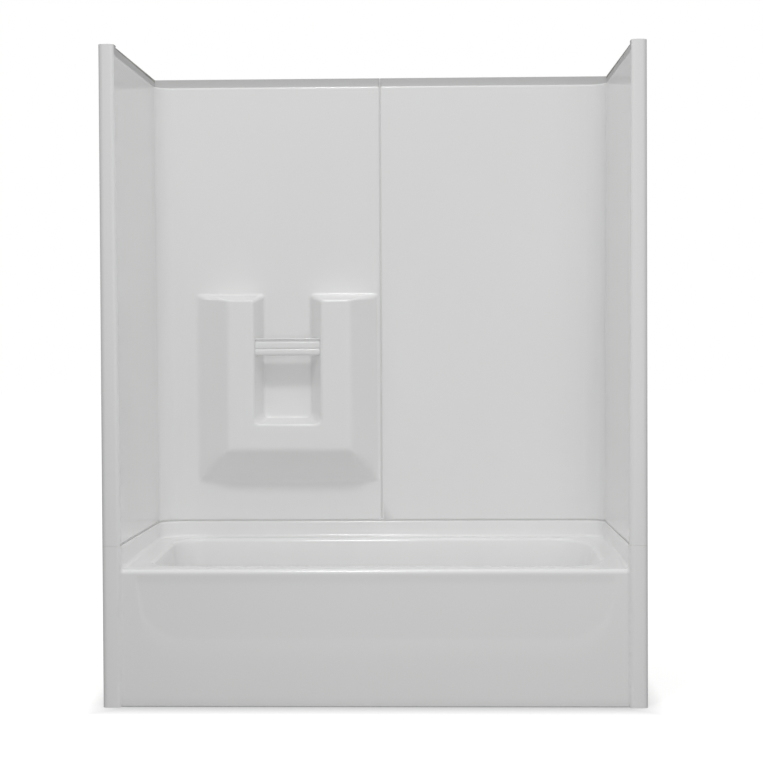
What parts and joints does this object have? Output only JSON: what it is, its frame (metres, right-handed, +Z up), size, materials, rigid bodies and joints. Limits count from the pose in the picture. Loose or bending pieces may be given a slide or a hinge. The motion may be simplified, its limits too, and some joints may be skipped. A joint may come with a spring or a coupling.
{
  "type": "tub and shower combo",
  "caption": "White moulded alcove tub with raised surround, split into a tub and two wall panels, with a shelf, a soap niche and a washcloth bar.",
  "frame": {"origin": "middle of the unit's base, on the floor", "axes": "+X to the right end as a person faces the unit, +Y to the back wall, +Z up"},
  "size_m": [1.524, 0.762, 1.854],
  "materials": {
    "gelcoat": "polished white gelcoat",
    "bar": "glossy white moulding",
    "sealing_tape": "matt white sealing tape",
    "zinc_steel": "zinc plated",
    "timber": "rough sawn softwood and plywood"
  },
  "bodies": {
    "root": {"tub_shell": "gelcoat", "left_wall_panel": "gelcoat", "right_wall_panel": "gelcoat", "washcloth_bar": "bar", "seam_gasket": "sealing_tape", "left_joint_gasket": "sealing_tape", "right_joint_gasket": "sealing_tape", "seam_bolts": "zinc_steel", "seam_washers": "zinc_steel", "seam_nuts": "zinc_steel", "joint_bolts": "zinc_steel", "joint_washers": "zinc_steel", "joint_nuts": "zinc_steel", "base_board": "timber", "base_runner_front": "timber", "base_runner_middle": "timber", "base_runner_back": "timber", "apron_board": "timber", "apron_foot_cleat": "timber", "front_rim_rail": "timber", "back_ledge_rail": "timber", "deck_legs": "timber", "drain_end_rail": "timber", "rest_end_rail": "timber", "left_column_strip": "timber", "right_column_strip": "timber", "left_side_ribs": "timber", "right_side_ribs": "timber", "left_back_ribs": "timber", "right_back_ribs": "timber", "shelf_backing": "timber"}
  },
  "joints": []
}
